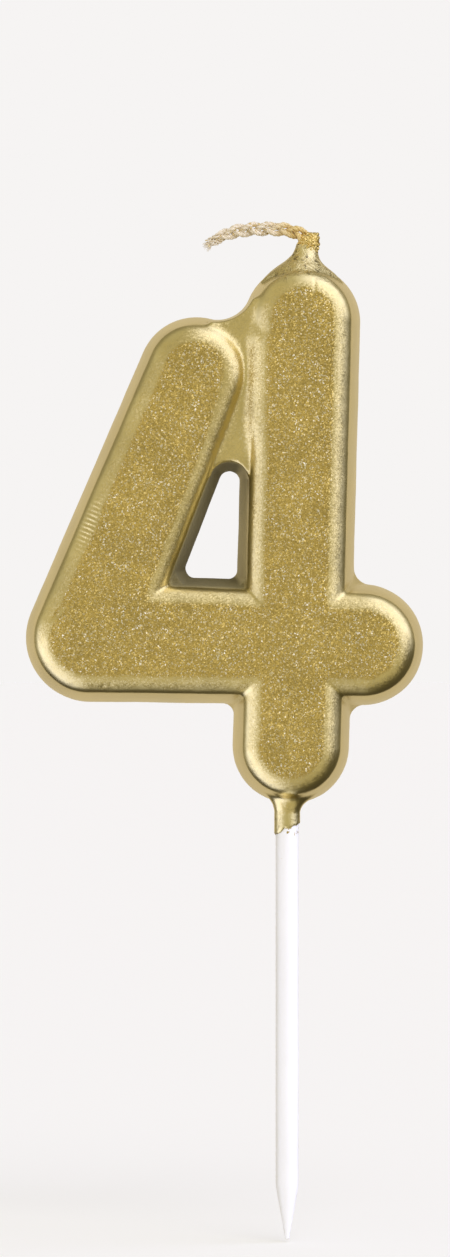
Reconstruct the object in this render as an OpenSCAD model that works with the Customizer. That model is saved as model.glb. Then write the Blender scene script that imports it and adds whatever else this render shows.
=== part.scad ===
// Number birthday candle: a moulded wax figure 4 in a metallic coat, with a braided
// cotton wick and a plastic pick. Millimetres, +Z up, the figure's face towards -Y.
// The origin is on the pick's axis at the lower end of the wax neck, which is where
// the pick goes into the cake.

/* [Figure] */
// Thickness of the figure, flat back to flat face
figure_t = 10; // [8:0.5:12]
// Distance between the centres of the stem's round ends
stem_len = 47.1; // [46:0.1:49]
// Half width of the stem
stem_r = 6.5; // [6.3:0.05:6.8]
// Height of the crossbar's centre above the foot's centre
bar_up = 11.4; // [11:0.1:12]
// Reach of the crossbar's left end centre from the stem
bar_left = 22.7; // [22.2:0.1:23.2]
// Half width of the crossbar's left end
bar_left_r = 7.15; // [7:0.05:7.3]
// Reach of the crossbar's right end centre from the stem
bar_right = 7.7; // [7.4:0.1:8]
// Half width of the crossbar's right end
bar_right_r = 6.75; // [6.6:0.05:6.9]
// Distance of the slanted arm's top end centre to the left of the stem
arm_left = 11.6; // [11.3:0.1:11.9]
// Height of the slanted arm's top end centre above the foot's centre
arm_up = 40.9; // [40.4:0.1:41.4]
// Half width of the slanted arm's top end
arm_r = 6.5; // [6.3:0.05:6.7]
// Lean of the figure on its pick, in degrees
lean = 1.5; // [1:0.25:2]
// Radius of the rounded shoulder round the face
shoulder_r = 2.75; // [2.5:0.25:3]
// Width of the drafted side wall, seen from the front
draft_w = 1.1; // [0.8:0.1:1.3]

/* [Coat] */
// Thickness of the metallic coat
coat_t = 0.15; // [0.1:0.05:0.2]

/* [Pick] */
// Diameter of the pick below the wax neck
pick_d = 2.5; // [2.4:0.1:2.6]
// Diameter of the pick's upper end, cast into the wax
cast_in_d = 2; // [1.9:0.1:2.1]
// Length of the pick below the wax neck, point included
pick_len = 45; // [40:1:50]
// Length of the pick's tapered point
point_len = 6; // [4:0.5:8]
// Length of the pick's upper end
cast_in_len = 20; // [18:0.5:21]
// Number of barbs that hold the pick in the wax
barb_count = 3; // [2:1:3]

/* [Wick] */
// Diameter of one strand of the braid
strand_d = 0.42; // [0.34:0.02:0.42]
// Length of one full turn of the braid
braid_pitch = 6; // [6:0.25:7]

/* [Hidden] */

fit_gap = 0.02;       // room round what is cast into the wax
smooth = 48;          // facets round the pick, neck and collar
stroke_facets = 32;   // facets round a stroke's end

// section of a stroke
half_t = figure_t / 2;
shoulder_turn = 65;   // degrees from the flat face to the side wall
back_edge_r = 1.2;
shoulder_steps = 5;
back_steps = 3;

// stroke ends in the figure's own plane, measured from the foot's centre
foot = [0, 0];
stem_top = [0, stem_len];
bar_start = [-bar_left, bar_up];
bar_end = [bar_right, bar_up];
arm_top = [-arm_left, arm_up];
foot_x = 0.45;        // place of the foot's centre from the pick's axis
foot_z = 9.8;

// webs that fill the inside corners between strokes, three posts each
web_post_r = [0.5, 0.3];   // at the back and at the top of a web
web_low = -4.1;
web_high = 2.6;
bar_under = bar_up - 7.1;
bar_over = bar_up + 6.8;
notch = [-6.4, 44];
notch_rim = [[-9, 46.7], [-7.2, 47.1], [-6.2, 48], [-5.3, 49.4]];
slit_top = [-6.6, 42];
webs = [
    [[stem_r - 0.5, bar_over + 1.2], [stem_r - 0.5, bar_over - 1.5], [stem_r + 2.4, bar_over - 0.8]],
    [[stem_r - 0.5, bar_under - 1.2], [stem_r - 0.5, bar_under + 1.5], [stem_r + 1.6, bar_under + 0.7]],
    [[-stem_r + 0.5, bar_under - 0.8], [-stem_r + 0.5, bar_under + 1.5], [-stem_r - 1, bar_under + 0.5]],
    [[-stem_r + 0.5, bar_over + 1.2], [-stem_r + 0.5, bar_over - 1], [-stem_r - 0.9, bar_over - 0.6]],
    [[-12.2, bar_over - 0.7], [-13, bar_over - 0.7], [-12.8, bar_over + 1.4]],
    [[-6.95, 30.9], [-6.1, 36], [-8, 35], slit_top],
    for (i = [0 : 2]) [notch, notch_rim[i], notch_rim[i + 1], slit_top]
];

// wick channel through the stem, as [x, z] on the plane y = 0
wick_low = [0.95, 24];
wick_exit = [2.15, 66];
wick_run = norm(wick_exit - wick_low);
wick_tilt = atan2(wick_exit.x - wick_low.x, wick_exit.y - wick_low.y);
channel_r = 0.8;
channel_under = 0.3;  // room below the wick's lower end
wick_stands_out = 0.2;

// centre line of the wick's free end, bent over to the left
tip_route = [
    [0.9, 0, 67], [-0.7, -0.1, 67.25], [-2.4, -0.2, 67.3], [-4.2, -0.3, 67.2],
    [-6, -0.4, 66.8], [-7.5, -0.5, 66.1], [-8.6, -0.6, 65.3]
];
braid_swing = 0.52;   // sideways swing of a strand's centre
braid_rise = 0.3;     // its front to back swing
strand_sides = 6;
ring_gap = 0.5;

// wax neck round the pick, and wax cone round the wick
neck_r = 1.42;
neck_straight = 2.3;
neck_flare = 1.8;
collar_r = 1.15;
collar_h = 4;
collar_flare_w = 2.4;
collar_flare_h = 2.6;
collar_sunk = 0.3;    // depth of the cone's foot below its flare
flare_steps = 6;

// barbs on the pick's cast-in end
barb_r = 1.75;
barb_h = 1.5;
barb_first = 7;
barb_gap = 4;
point_r = 0.25;

// Section of half a stroke: x from its centre line, y from the figure's mid-plane.
function half_section(r, t, shoulder, draft) =
    let (
        crease_x = r - draft,
        flat_x = crease_x - shoulder * sin(shoulder_turn),
        back_r = min(back_edge_r, r / 2)
    )
    concat(
        [[0, -t]],
        [for (i = [0 : back_steps]) let (a = 90 * i / back_steps)
            [r - back_r * (1 - sin(a)), -t + back_r * (1 - cos(a))]],
        [[r - draft * 0.35, 0]],
        [for (i = [shoulder_steps : -1 : 0]) let (a = shoulder_turn * i / shoulder_steps)
            [flat_x + shoulder * sin(a), t - shoulder * (1 - cos(a))]],
        [[0, t]]
    );

module stroke_end(place, r, inset) {
    translate([place.x, place.y, 0])
        rotate_extrude($fn = stroke_facets)
            polygon(half_section(r - inset, half_t - inset, shoulder_r, draft_w));
}

module stroke(p, p_r, q, q_r, inset) {
    hull() {
        stroke_end(p, p_r, inset);
        stroke_end(q, q_r, inset);
    }
}

module web(corners, inset) {
    hull()
        for (corner = corners)
            translate([corner.x, corner.y, web_low + inset])
                cylinder(h = web_high - web_low - 2 * inset,
                    r1 = web_post_r[0] - inset, r2 = web_post_r[1] - inset, $fn = 8);
}

// The whole figure 4, its outside moved in by inset.
module figure(inset = 0) {
    translate([foot_x, 0, foot_z]) rotate([0, lean, 0]) rotate([90, 0, 0]) {
        stroke(foot, stem_r, stem_top, stem_r, inset);
        stroke(bar_start, bar_left_r, bar_end, bar_right_r, inset);
        stroke(bar_start, bar_left_r, arm_top, arm_r, inset);
        for (corners = webs) web(corners, inset);
    }
}

// Places children on the wick's line, Z along the wick from its lower end.
module on_wick() {
    translate([wick_low.x, 0, wick_low.y]) rotate([0, wick_tilt, 0]) children();
}

module wick_channel() {
    on_wick() translate([0, 0, -channel_under])
        cylinder(h = channel_under + wick_run + 1, r = channel_r, $fn = smooth);
}

// The pick's upper end, with barbs that flare downwards; grow gives it room.
module cast_in_end(grow = 0) {
    cylinder(h = cast_in_len + grow, r = cast_in_d / 2 + grow, $fn = smooth);
    for (i = [0 : barb_count - 1])
        translate([0, 0, barb_first + i * barb_gap - grow])
            cylinder(h = barb_h + 2 * grow, r1 = barb_r + grow, r2 = cast_in_d / 2 + grow, $fn = smooth);
}

module wax_body() {
    color("ivory") difference() {
        figure(coat_t);
        wick_channel();
        cast_in_end(fit_gap);
    }
}

module gold_coat() {
    color("goldenrod") difference() {
        figure();
        figure(coat_t);
        wick_channel();
        cylinder(h = foot_z, r = cast_in_d / 2 + fit_gap, $fn = smooth);
    }
}

// Concave cone of coated wax that climbs the wick where it leaves the figure.
module wick_collar() {
    outer = [
        for (i = [0 : flare_steps]) let (a = 90 * i / flare_steps)
            [collar_r + collar_flare_w * (1 - sin(a)), collar_flare_h * (1 - cos(a)) + collar_sunk]
    ];
    section = concat([[channel_r, 0], [outer[0].x, 0]], outer, [[collar_r, collar_h], [channel_r, collar_h]]);
    color("goldenrod") difference() {
        on_wick() translate([0, 0, wick_run - collar_h]) rotate_extrude($fn = smooth) polygon(section);
        figure();
    }
}

// Neck of coated wax from the figure's foot down over the top of the pick.
module pick_neck() {
    outer = [
        for (i = [0 : flare_steps]) let (a = 90 * i / flare_steps)
            [neck_r + neck_flare * (1 - cos(a)), neck_straight + neck_flare * sin(a)]
    ];
    inner_r = cast_in_d / 2 + fit_gap;
    section = concat([[inner_r, 0], [neck_r, 0]], outer, [[inner_r, neck_straight + neck_flare]]);
    color("goldenrod") difference() {
        rotate_extrude($fn = smooth) polygon(section);
        figure();
    }
}

module pick() {
    color("white") union() {
        translate([0, 0, point_len - pick_len])
            cylinder(h = pick_len - point_len, d = pick_d, $fn = smooth);
        translate([0, 0, -pick_len]) cylinder(h = point_len, r1 = point_r, r2 = pick_d / 2, $fn = smooth);
        cast_in_end();
    }
}

// Point at share t of a smooth curve through the points p.
function spline(p, t) =
    let (
        n = len(p) - 1,
        i = min(floor(t * n), n - 1),
        f = t * n - i,
        a = p[max(i - 1, 0)],
        b = p[i],
        c = p[i + 1],
        d = p[min(i + 2, n)]
    )
    b + ((c - a) * f + (2 * a - 5 * b + 4 * c - d) * f * f + (3 * b - a - 3 * c + d) * f * f * f) / 2;

function route_len(p) =
    len(p) < 2 ? 0 : norm(p[1] - p[0]) + route_len([for (i = [1 : len(p) - 1]) p[i]]);

// Sideways direction of the flat braid at share t of a route.
function sideways(p, t) =
    let (along = spline(p, min(t + 0.01, 1)) - spline(p, max(t - 0.01, 0)))
    cross([0, 1, 0], along / norm(along));

// One strand of the flat three-strand braid along a route.
module strand(route, index) {
    run = route_len(route);
    rings = round(run / ring_gap);
    points = [
        for (j = [0 : rings])
            let (
                t = j / rings,
                turn = 360 * (t * run / braid_pitch + index / 3),
                side = sideways(route, t),
                centre = spline(route, t)
                    + side * braid_swing * sin(turn)
                    + [0, 1, 0] * braid_rise * sin(2 * turn)
            )
            for (k = [0 : strand_sides - 1]) let (a = 360 * k / strand_sides)
                centre + (side * cos(a) + [0, 1, 0] * sin(a)) * strand_d / 2
    ];
    walls = [
        for (j = [0 : rings - 1], k = [0 : strand_sides - 1])
            let (n = (k + 1) % strand_sides, here = j * strand_sides, next = here + strand_sides)
            [here + k, here + n, next + n, next + k]
    ];
    low_end = [for (k = [strand_sides - 1 : -1 : 0]) k];
    high_end = [for (k = [0 : strand_sides - 1]) rings * strand_sides + k];
    color("wheat") polyhedron(points, concat([low_end], walls, [high_end]), convexity = 6);
}

module wick_strand(index) {
    top = wick_exit + (wick_exit - wick_low) / wick_run * wick_stands_out;
    strand([for (i = [0 : 4]) let (p = wick_low + (top - wick_low) * i / 4) [p.x, 0, p.y]], index);
}

module wick_tip_strand(index) {
    strand(tip_route, index);
}

wax_body();
gold_coat();
wick_collar();
pick_neck();
pick();
wick_strand(0);  // wick_strand_1
wick_strand(1);  // wick_strand_2
wick_strand(2);  // wick_strand_3
wick_tip_strand(0);  // wick_tip_strand_1
wick_tip_strand(1);  // wick_tip_strand_2
wick_tip_strand(2);  // wick_tip_strand_3
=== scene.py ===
"""Number birthday candle: a gilded wax figure 4 with a braided wick and a white plastic pick.

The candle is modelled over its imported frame, in metres, with the figure's flat face towards -Y
and the origin on the pick's axis where the wax neck ends.
"""
import logging
import math
from collections.abc import Callable, Iterator, Sequence
from contextlib import contextmanager
from dataclasses import dataclass, field
from enum import Enum

import bpy
from mathutils import Matrix, Vector, noise


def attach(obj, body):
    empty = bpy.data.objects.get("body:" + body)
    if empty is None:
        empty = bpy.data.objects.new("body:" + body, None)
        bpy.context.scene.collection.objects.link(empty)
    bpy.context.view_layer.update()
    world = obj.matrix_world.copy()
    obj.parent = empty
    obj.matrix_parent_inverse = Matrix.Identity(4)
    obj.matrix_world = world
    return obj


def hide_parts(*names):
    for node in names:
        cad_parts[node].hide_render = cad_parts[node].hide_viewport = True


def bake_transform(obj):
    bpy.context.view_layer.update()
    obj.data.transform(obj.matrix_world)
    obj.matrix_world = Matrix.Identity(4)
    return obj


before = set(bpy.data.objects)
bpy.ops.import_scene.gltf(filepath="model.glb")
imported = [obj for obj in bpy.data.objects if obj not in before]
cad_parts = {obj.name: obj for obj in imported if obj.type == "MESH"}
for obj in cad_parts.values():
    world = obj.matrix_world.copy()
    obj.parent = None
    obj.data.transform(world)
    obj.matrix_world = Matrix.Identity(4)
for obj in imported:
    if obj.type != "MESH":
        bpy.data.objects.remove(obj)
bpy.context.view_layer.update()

MM = 0.001
BACK = Vector((0, 1, 0))
NOISE_SEED = 4  # noise_vector starts from the clock unless it is seeded
Colour = tuple[float, float, float]
Span = tuple[float, float]
log = logging.getLogger("candle")


class Body(str, Enum):
    """The frame's bodies that pieces ride on."""

    CANDLE = "candle"
    WICK_END = "wick_end"


class Slot(str, Enum):
    """The record's material slots."""

    WAX = "wax"
    GOLD_COAT = "gold_coat"
    GOLD_WAX = "gold_wax"
    PICK = "pick_plastic"
    WICK = "wick_cotton"


# ---------------------------------------------------------------- modelling moves


def deselect() -> None:
    """Leaves nothing selected, so that an operator acts only on what is picked next."""
    if bpy.context.object and bpy.context.object.mode != "OBJECT":
        bpy.ops.object.mode_set(mode="OBJECT")
    bpy.ops.object.select_all(action="DESELECT")


def pick_objects(objects: Sequence[bpy.types.Object]) -> bpy.types.Object:
    """Selects objects and makes the first one active.

    Args:
        objects: What the next operator acts on.

    Returns:
        The active object.
    """
    deselect()
    for obj in objects:
        obj.select_set(True)
    bpy.context.view_layer.objects.active = objects[0]
    return objects[0]


@contextmanager
def editing(obj: bpy.types.Object, mode: str = "VERT") -> Iterator[None]:
    """Opens obj in edit mode with nothing selected, and closes it again.

    Args:
        obj: The mesh object to edit.
        mode: The select mode: VERT, EDGE or FACE.

    Yields:
        Nothing; the operators inside act on the open mesh.
    """
    pick_objects([obj])
    bpy.ops.object.mode_set(mode="EDIT")
    bpy.ops.mesh.select_mode(type=mode)
    bpy.ops.mesh.select_all(action="DESELECT")
    try:
        yield
    finally:
        bpy.ops.object.mode_set(mode="OBJECT")


def pick_where(obj: bpy.types.Object, kind: str, test: Callable[[Vector, Vector], bool]) -> None:
    """Selects the vertices or faces of the mesh in edit mode that pass a test, and nothing else.

    Args:
        obj: The mesh object in edit mode.
        kind: "VERT" or "FACE".
        test: Takes a place and a normal, and says whether to select.
    """
    bpy.ops.mesh.select_all(action="DESELECT")
    bpy.ops.object.mode_set(mode="OBJECT")
    mesh = obj.data
    if kind == "FACE":
        for polygon in mesh.polygons:
            polygon.select = test(polygon.center, polygon.normal)
    else:
        for polygon in mesh.polygons:
            polygon.select = False
        for edge in mesh.edges:
            edge.select = False
        for vertex in mesh.vertices:
            vertex.select = test(vertex.co, vertex.normal)
    bpy.ops.object.mode_set(mode="EDIT")


def settle(obj: bpy.types.Object) -> None:
    """Moves an object's place, turn and scale into its mesh."""
    pick_objects([obj])
    bpy.ops.object.transform_apply(location=True, rotation=True, scale=True)


def apply_modifier(obj: bpy.types.Object, kind: str, **settings: object) -> None:
    """Adds a modifier, sets it up and applies it.

    Args:
        obj: The mesh object.
        kind: The modifier's type.
        settings: Its properties.
    """
    pick_objects([obj])
    modifier = obj.modifiers.new(kind.lower(), kind)
    for name, value in settings.items():
        setattr(modifier, name, value)
    bpy.ops.object.modifier_apply(modifier=modifier.name)


def joined(name: str, objects: Sequence[bpy.types.Object]) -> bpy.types.Object:
    """Joins objects into one and names it."""
    obj = pick_objects(objects)
    if len(objects) > 1:
        bpy.ops.object.join()
    obj.name = obj.data.name = name
    return obj


def smooth_shaded(obj: bpy.types.Object, angle_deg: float = 180.0) -> bpy.types.Object:
    """Shades an object smooth below an angle, with its normals facing out."""
    with editing(obj, "FACE"):
        bpy.ops.mesh.select_all(action="SELECT")
        bpy.ops.mesh.normals_make_consistent(inside=False)
    pick_objects([obj])
    bpy.ops.object.shade_smooth_by_angle(angle=math.radians(angle_deg))
    return obj


def smoothstep(low: float, high: float, value: float) -> float:
    """Rises smoothly from 0 at low to 1 at high."""
    share = min(max((value - low) / (high - low), 0.0), 1.0)
    return share * share * (3 - 2 * share)


def reshape(obj: bpy.types.Object, move: Callable[[Vector, Vector], Vector]) -> None:
    """Moves each vertex to a new place, all of them from the shape as it was.

    Args:
        obj: The mesh object.
        move: Takes a place and a normal, and gives the new place.
    """
    vertices = obj.data.vertices
    places = [(vertex.co.copy(), vertex.normal.copy()) for vertex in vertices]
    flat = [number for place, normal in places for number in move(place, normal)]
    vertices.foreach_set("co", flat)
    obj.data.update()


def paint(obj: bpy.types.Object, name: str, shade: Callable[[Vector, Vector], float]) -> None:
    """Writes a value at each vertex, which a material reads by name.

    Args:
        obj: The mesh object.
        name: The attribute's name.
        shade: Takes a place and a normal, and gives the value.
    """
    values = [shade(vertex.co, vertex.normal) for vertex in obj.data.vertices]
    obj.data.attributes.new(name, "FLOAT", "POINT").data.foreach_set("value", values)


def crust_all_over(obj: bpy.types.Object, crust: float) -> None:
    """Paints a gold piece without sand and with the same crust everywhere."""
    paint(obj, "sand", lambda co, normal: 0.0)
    paint(obj, "crust", lambda co, normal: crust)


@dataclass(frozen=True)
class Ring:
    """One ring of a loft, on a plane square to its way.

    Attributes:
        centre: The ring's centre.
        half_wide: Its half width across the way, seen from the front.
        half_deep: Its half width from front to back.
    """

    centre: Vector
    half_wide: float
    half_deep: float


def rings_of(table: Sequence[tuple[float, float, float, float]]) -> list[Ring]:
    """Reads rings from a table of centre x, half width, half depth and z, in millimetres."""
    return [Ring(Vector((x, 0, z)) * MM, wide * MM, deep * MM) for x, wide, deep, z in table]


def loft(name: str, rings: Sequence[Ring], facets: int) -> bpy.types.Object:
    """Builds a closed round solid by extruding a disc from ring to ring, up the Z axis.

    Args:
        name: The new object's name.
        rings: The rings, from low to high.
        facets: The number of sides.

    Returns:
        The solid.
    """
    deselect()
    first = rings[0]
    bpy.ops.mesh.primitive_circle_add(vertices=facets, radius=1, fill_type="NGON", location=first.centre)
    obj = bpy.context.object
    obj.name = name
    obj.scale = (first.half_wide, first.half_deep, 1)
    settle(obj)
    with editing(obj, "FACE"):
        bpy.ops.mesh.select_all(action="SELECT")
        last = first
        for ring in rings[1:]:
            bpy.ops.mesh.extrude_region_move(
                TRANSFORM_OT_translate={"value": ring.centre - last.centre})
            bpy.ops.transform.resize(
                value=(ring.half_wide / last.half_wide, ring.half_deep / last.half_deep, 1),
                center_override=ring.centre)
            last = ring
    return smooth_shaded(obj)


# ---------------------------------------------------------------- shader building


class Nodes:
    """A thin hand for building a node tree."""

    def __init__(self, tree: bpy.types.NodeTree) -> None:
        """Starts on an emptied tree."""
        self.tree = tree
        tree.nodes.clear()

    def add(self, kind: str, values: dict | None = None, **settings: object) -> bpy.types.Node:
        """Adds a node.

        Args:
            kind: The node's type without its ShaderNode prefix.
            values: Input values or links by input name or number.
            settings: The node's own properties.

        Returns:
            The node.
        """
        full = kind if kind.startswith("NodeGroup") else "ShaderNode" + kind
        node = self.tree.nodes.new(full)
        for name, value in settings.items():
            setattr(node, name, value)
        for name, value in (values or {}).items():
            if isinstance(value, bpy.types.NodeSocket):
                self.tree.links.new(value, node.inputs[name])
            else:
                node.inputs[name].default_value = value
        return node

    def maths(self, operation: str, *values: object) -> bpy.types.NodeSocket:
        """Adds a Math node and gives its output."""
        return self.add("Math", dict(enumerate(values)), operation=operation).outputs[0]

    def ramp(self, value: bpy.types.NodeSocket, low: float, high: float,
             to_low: float = 0.0, to_high: float = 1.0) -> bpy.types.NodeSocket:
        """Maps value smoothly from low..high to to_low..to_high and gives the output."""
        node = self.add("MapRange", {0: value, 1: low, 2: high, 3: to_low, 4: to_high},
                        interpolation_type="SMOOTHSTEP")
        return node.outputs[0]

    def mix(self, share: object, first: object, second: object,
            blend: str = "MIX") -> bpy.types.NodeSocket:
        """Mixes two colours and gives the output."""
        node = self.add("Mix", {0: share, 6: first, 7: second}, data_type="RGBA", blend_type=blend)
        return node.outputs[2]

    def attribute(self, name: str) -> bpy.types.NodeSocket:
        """Gives a painted value of the mesh."""
        return self.add("Attribute", attribute_name=name).outputs["Fac"]

    def group(self, tree: bpy.types.NodeTree, values: dict) -> bpy.types.Node:
        """Places a node group."""
        return self.add("Group", values, node_tree=tree)

    def scaled(self, colour: bpy.types.NodeSocket, factor: bpy.types.NodeSocket) -> bpy.types.NodeSocket:
        """Multiplies a colour by a plain value and gives the output."""
        grey = self.add("CombineColor", {0: factor, 1: factor, 2: factor})
        return self.mix(1.0, colour, grey.outputs[0], "MULTIPLY")


def new_material(name: str) -> tuple[bpy.types.Material, Nodes]:
    """Makes an empty material and gives it with a hand for its nodes."""
    material = bpy.data.materials.new(name)
    material.use_nodes = True
    return material, Nodes(material.node_tree)


def rgba(colour: Sequence[float]) -> tuple[float, float, float, float]:
    """Gives a colour its alpha."""
    return (colour[0], colour[1], colour[2], 1.0)


def new_group(name: str, inputs: Sequence[tuple[str, str, object]],
              outputs: Sequence[tuple[str, str]]) -> bpy.types.NodeTree:
    """Makes an empty shader node group with named sockets.

    Args:
        name: The group's name.
        inputs: Name, socket type and default of each input.
        outputs: Name and socket type of each output.

    Returns:
        The group's tree, with its Group Input and Group Output nodes.
    """
    tree = bpy.data.node_groups.new(name, "ShaderNodeTree")
    for label, kind, default in inputs:
        socket = tree.interface.new_socket(label, in_out="INPUT", socket_type="NodeSocket" + kind)
        socket.default_value = default
    for label, kind in outputs:
        tree.interface.new_socket(label, in_out="OUTPUT", socket_type="NodeSocket" + kind)
    return tree


def sparkle_group() -> bpy.types.NodeTree:
    """Builds the metal flakes of the coat: each flake has its own tint and its own tilt.

    Returns:
        A group with the inputs Size, Tilt, Relief and Mask, and the outputs Flake, a random
        value for each flake, Glint, a mask of a few random flakes that the gold finish
        paints as painted glints, and Normal.
    """
    tree = new_group(
        "metal_flakes",
        [("Size", "Float", 0.00025), ("Tilt", "Float", 0.3), ("Relief", "Float", 0.00004),
         ("Mask", "Float", 1.0)],
        [("Flake", "Float"), ("Glint", "Float"), ("Normal", "Vector")])
    n = Nodes(tree)
    ask, give = n.add("NodeGroupInput"), n.add("NodeGroupOutput")
    place = n.add("TexCoord").outputs["Object"]
    scale = n.maths("DIVIDE", 1.0, ask.outputs["Size"])
    wobble = n.add("TexNoise", {"Vector": place, "Scale": scale, "Detail": 1.0})
    shifted = n.add("VectorMath", {0: wobble.outputs["Color"], "Scale": 0.00012}, operation="SCALE")
    moved = n.add("VectorMath", {0: place, 1: shifted.outputs[0]}, operation="ADD")
    cells = n.add("TexVoronoi", {"Vector": moved.outputs[0], "Scale": scale}, feature="F1")
    grain = n.add("TexNoise", {"Vector": place, "Scale": n.maths("MULTIPLY", scale, 1.35),
                               "Detail": 2.0, "Roughness": 0.6})
    bump = n.add("Bump", {"Height": grain.outputs["Fac"], "Distance": ask.outputs["Relief"],
                          "Strength": ask.outputs["Mask"]})
    centred = n.add("VectorMath", {0: cells.outputs["Color"], 1: (0.5, 0.5, 0.5)}, operation="SUBTRACT")
    push = n.maths("MULTIPLY", ask.outputs["Tilt"], ask.outputs["Mask"])
    tilt = n.add("VectorMath", {0: centred.outputs[0], "Scale": push}, operation="SCALE")
    total = n.add("VectorMath", {0: bump.outputs[0], 1: tilt.outputs[0]}, operation="ADD")
    unit = n.add("VectorMath", {0: total.outputs[0]}, operation="NORMALIZE")
    parts = n.add("SeparateColor", {0: cells.outputs["Color"]})
    # A few random flakes: the gold finish paints them as painted glints, and the cotton puts its gilt dust
    # there.
    bright = n.ramp(parts.outputs[1], 0.80, 0.97)
    glint = n.maths("MULTIPLY", bright, ask.outputs["Mask"])
    for socket, name in ((parts.outputs[0], "Flake"), (glint, "Glint"), (unit.outputs[0], "Normal")):
        tree.links.new(socket, give.inputs[name])
    return tree


def cloud_group() -> bpy.types.NodeTree:
    """Builds soft uneven patches, which every finish uses for its slow changes of tone.

    Returns:
        A group with the inputs Size and Seed, and the output Cloud, from 0 to 1.
    """
    tree = new_group("soft_patches", [("Size", "Float", 0.004), ("Seed", "Float", 0.0)],
                     [("Cloud", "Float")])
    n = Nodes(tree)
    ask, give = n.add("NodeGroupInput"), n.add("NodeGroupOutput")
    place = n.add("TexCoord").outputs["Object"]
    scale = n.maths("DIVIDE", 1.0, ask.outputs["Size"])
    patches = n.add("TexNoise", {"Vector": place, "W": ask.outputs["Seed"], "Scale": scale,
                                 "Detail": 3.0}, noise_dimensions="4D")
    tree.links.new(n.ramp(patches.outputs["Fac"], 0.3, 0.7), give.inputs["Cloud"])
    return tree


# ---------------------------------------------------------------- finishes


@dataclass(frozen=True)
class GoldFinish:
    """Metallic lacquer on wax.

    Attributes:
        name: The material's name.
        smooth: Its colour where it lies smooth, on the shoulders and sides.
        deep: Its colour in the troughs of the sandy face.
        bright: Colour of the painted glints on a few flakes of the sand.
        flake_size: The width of one flake.
        tilt: How far the flakes tilt.
        relief: Height of the sandy grain.
        roughness: Roughness of the smooth lacquer.
        fleck: Colour of the dark flecks in crusted places.
        peak: How much brighter than deep the brightest sand is, before its painted glints.
        burst_size: Width of a patch where the painted glints crowd.
        patch_size: Width of the slow patches of tone.
        crackle_scale: Scale of the crackle in crusted places.
        crumple: Height of the crumpled crust.
        counter_shade_dark: How much of its colour the painted shade on the counter's walls takes away.
        dull_bare: How much of its metal the skin loses under that painted shade.
        dull_rough: How much rougher the skin is there.
        sand_rough: How much rougher the sandy face is.
        coat: Weight of the clear coat.
    """

    name: str
    smooth: Colour = (0.79, 0.67, 0.30)
    deep: Colour = (0.42, 0.308, 0.078)
    bright: Colour = (0.86, 0.78, 0.50)
    flake_size: float = 0.13 * MM
    tilt: float = 0.58
    relief: float = 0.03 * MM
    roughness: float = 0.3
    fleck: Colour = (0.12, 0.08, 0.025)
    peak: float = 1.75
    burst_size: float = 1.6 * MM
    patch_size: float = 5 * MM
    crackle_scale: float = 1500.0
    crumple: float = 0.22 * MM
    counter_shade_dark: float = 0.72
    dull_bare: float = 0.85
    dull_rough: float = 0.55
    sand_rough: float = 0.06
    coat: float = 0.35

    def build(self, sparkle: bpy.types.NodeTree, clouds: bpy.types.NodeTree) -> bpy.types.Material:
        """Builds the material.

        Args:
            sparkle: The metal flakes group.
            clouds: The soft patches group.

        Returns:
            The material.
        """
        material, n = new_material(self.name)
        sand = n.attribute("sand")
        grain = n.group(sparkle, {"Size": self.flake_size, "Tilt": self.tilt,
                                  "Relief": self.relief, "Mask": sand})
        patch = n.group(clouds, {"Size": self.patch_size, "Seed": 2.0}).outputs[0]
        peak = rgba(tuple(c * self.peak for c in self.deep))
        sandy = n.mix(grain.outputs["Flake"], rgba(self.deep), peak)
        # Painted glints: a few flakes, crowded in patches, are painted the bright colour.
        bursts = n.group(clouds, {"Size": self.burst_size, "Seed": 3.0}).outputs[0]
        bursts = n.ramp(bursts, 0.55, 1.0, 0.55, 1.6)
        glint = n.add("Math", {0: grain.outputs["Glint"], 1: bursts},
                      operation="MULTIPLY", use_clamp=True)
        sandy = n.mix(glint.outputs[0], sandy, rgba(self.bright))
        colour = n.mix(sand, rgba(self.smooth), sandy)
        tone = n.ramp(patch, 0.0, 1.0, 0.93, 1.05)
        colour = n.scaled(colour, tone)
        # Painted shade: this mask paints the counter's walls darker, and below it also takes away metal
        # and coat and adds roughness.
        counter_shade = n.attribute("counter_shade")
        light = n.maths("SUBTRACT", 1.0, n.maths("MULTIPLY", counter_shade, self.counter_shade_dark))
        colour = n.scaled(colour, light)
        crust = n.attribute("crust")
        place = n.add("TexCoord").outputs["Object"]
        crackle = n.add("TexNoise", {"Vector": place, "Scale": self.crackle_scale, "Detail": 4.0,
                                     "Roughness": 0.7, "Distortion": 0.6})
        dark = n.maths("MULTIPLY", n.ramp(crackle.outputs["Fac"], 0.54, 0.64), crust)
        colour = n.mix(dark, colour, rgba(self.fleck))
        crumple = n.add("Bump", {"Height": crackle.outputs["Fac"], "Distance": self.crumple,
                                 "Strength": crust, "Normal": grain.outputs["Normal"]})
        metal = n.maths("SUBTRACT", 1.0, n.maths("MULTIPLY", counter_shade, self.dull_bare))
        rough = n.maths("ADD", n.maths("MULTIPLY", sand, self.sand_rough), self.roughness)
        rough = n.maths("ADD", rough, n.maths("MULTIPLY", counter_shade, self.dull_rough))
        shader = n.add("BsdfPrincipled", {
            "Base Color": colour, "Metallic": metal, "Roughness": rough, "Normal": crumple.outputs[0],
            "Coat Weight": n.maths("MULTIPLY", n.maths("POWER", light, 3.0), self.coat),
            "Coat Roughness": 0.12, "Coat IOR": 1.45})
        n.add("OutputMaterial", {"Surface": shader.outputs[0]})
        return material


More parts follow.
